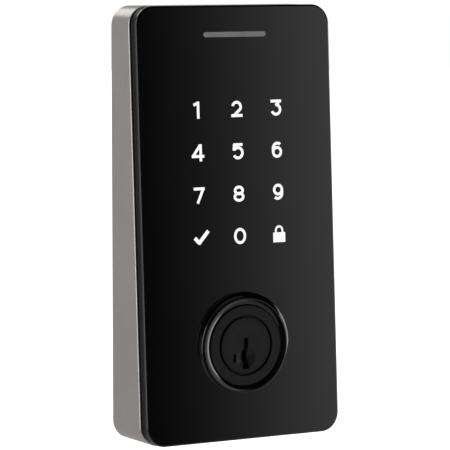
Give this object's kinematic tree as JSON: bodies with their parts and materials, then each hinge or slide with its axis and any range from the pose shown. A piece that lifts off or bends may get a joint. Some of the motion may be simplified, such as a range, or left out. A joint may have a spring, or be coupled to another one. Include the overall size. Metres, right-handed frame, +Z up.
{
  "type": "keypad smart lock",
  "caption": "Outdoor unit of a touch keypad door lock: wedge shaped satin metal shell, gloss black touch panel, key cylinder with turning plug and driving tail blade.",
  "frame": {"origin": "on the key cylinder's axis, in the plane of the door face that the rear rim rests on", "axes": "+X to the right as seen from outdoors, +Y into the door along the cylinder axis, +Z up along the door"},
  "size_m": [0.0694, 0.0849, 0.1359],
  "materials": {
    "satin_nickel": "fine brushed satin nickel plate",
    "cover_plastic": "satin black moulded plastic",
    "gloss_lens": "high gloss black touch panel",
    "legend_white": "white translucent inlay",
    "mark_grey": "grey printed inlay",
    "ring_gloss": "gloss black",
    "cylinder_dark": "satin black plated zinc, turned face",
    "brass": "machined",
    "spring_steel": "bright wire and spring sheet",
    "zinc": "as cast zinc",
    "plate_steel": "zinc plated steel",
    "screw_steel": "zinc plated",
    "rubber": "moulded black rubber",
    "circuit_green": "solder mask over glass laminate",
    "chip_black": "moulded epoxy",
    "shield_tin": "tinned sheet",
    "diffuser": "milky",
    "led_white": "moulded"
  },
  "bodies": {
    "housing": {"back_plate": "plate_steel", "backlight_leds": "led_white", "board_link": "cover_plastic", "board_screws": "screw_steel", "buzzer": "chip_black", "cable_grommet": "rubber", "cable_header": "cover_plastic", "control_board": "circuit_green", "cover_screws": "screw_steel", "cylinder_body": "cylinder_dark", "door_gasket": "rubber", "front_cover": "cover_plastic", "header_pins": "screw_steel", "housing_shell": "satin_nickel", "key_diffusers": "diffuser", "key_legend_0": "legend_white", "key_legend_1": "legend_white", "key_legend_2": "legend_white", "key_legend_3": "legend_white", "key_legend_4": "legend_white", "key_legend_5": "legend_white", "key_legend_6": "legend_white", "key_legend_7": "legend_white", "key_legend_8": "legend_white", "key_legend_9": "legend_white", "key_legend_check": "legend_white", "key_legend_lock": "legend_white", "mount_post_left": "plate_steel", "mount_post_right": "plate_steel", "plate_screws": "screw_steel", "processor_chip": "chip_black", "radio_module": "shield_tin", "seam_seal": "rubber", "top_mark": "mark_grey", "touch_lens": "gloss_lens", "touch_sensor_board": "circuit_green", "trim_ring": "ring_gloss"},
    "plug": {"plug": "cylinder_dark", "chamber_strip": "brass", "sidebar": "brass", "retaining_clip": "spring_steel", "tail_cap": "zinc", "pin_spring_1": "spring_steel", "pin_spring_2": "spring_steel", "pin_spring_3": "spring_steel", "pin_spring_4": "spring_steel", "pin_spring_5": "spring_steel"},
    "torque_blade": {"torque_blade": "zinc"},
    "key_pin_1": {"key_pin_1": "brass"},
    "key_pin_2": {"key_pin_2": "brass"},
    "key_pin_3": {"key_pin_3": "brass"},
    "key_pin_4": {"key_pin_4": "brass"},
    "key_pin_5": {"key_pin_5": "brass"}
  },
  "joints": [
    {"name": "plug_turn", "type": "hinge", "parent": "housing", "child": "plug", "pos_m": [0, 0, 0], "axis": [0, 1, 0], "range_deg": [-90, 90]},
    {"name": "blade_lag", "type": "hinge", "parent": "plug", "child": "torque_blade", "pos_m": [0, 0, 0], "axis": [0, 1, 0], "range_deg": [0, 90]},
    {"name": "pin_lift_1", "type": "slide", "parent": "plug", "child": "key_pin_1", "axis": [0, 0, 1], "range_m": [0, 0.0024], "stiffness_N_per_m": 100, "springref_m": -0.002, "deforming": ["pin_spring_1"]},
    {"name": "pin_lift_2", "type": "slide", "parent": "plug", "child": "key_pin_2", "axis": [0, 0, 1], "range_m": [0, 0.0024], "stiffness_N_per_m": 100, "springref_m": -0.002, "deforming": ["pin_spring_2"]},
    {"name": "pin_lift_3", "type": "slide", "parent": "plug", "child": "key_pin_3", "axis": [0, 0, 1], "range_m": [0, 0.0024], "stiffness_N_per_m": 100, "springref_m": -0.002, "deforming": ["pin_spring_3"]},
    {"name": "pin_lift_4", "type": "slide", "parent": "plug", "child": "key_pin_4", "axis": [0, 0, 1], "range_m": [0, 0.0024], "stiffness_N_per_m": 100, "springref_m": -0.002, "deforming": ["pin_spring_4"]},
    {"name": "pin_lift_5", "type": "slide", "parent": "plug", "child": "key_pin_5", "axis": [0, 0, 1], "range_m": [0, 0.0024], "stiffness_N_per_m": 100, "springref_m": -0.002, "deforming": ["pin_spring_5"]}
  ]
}
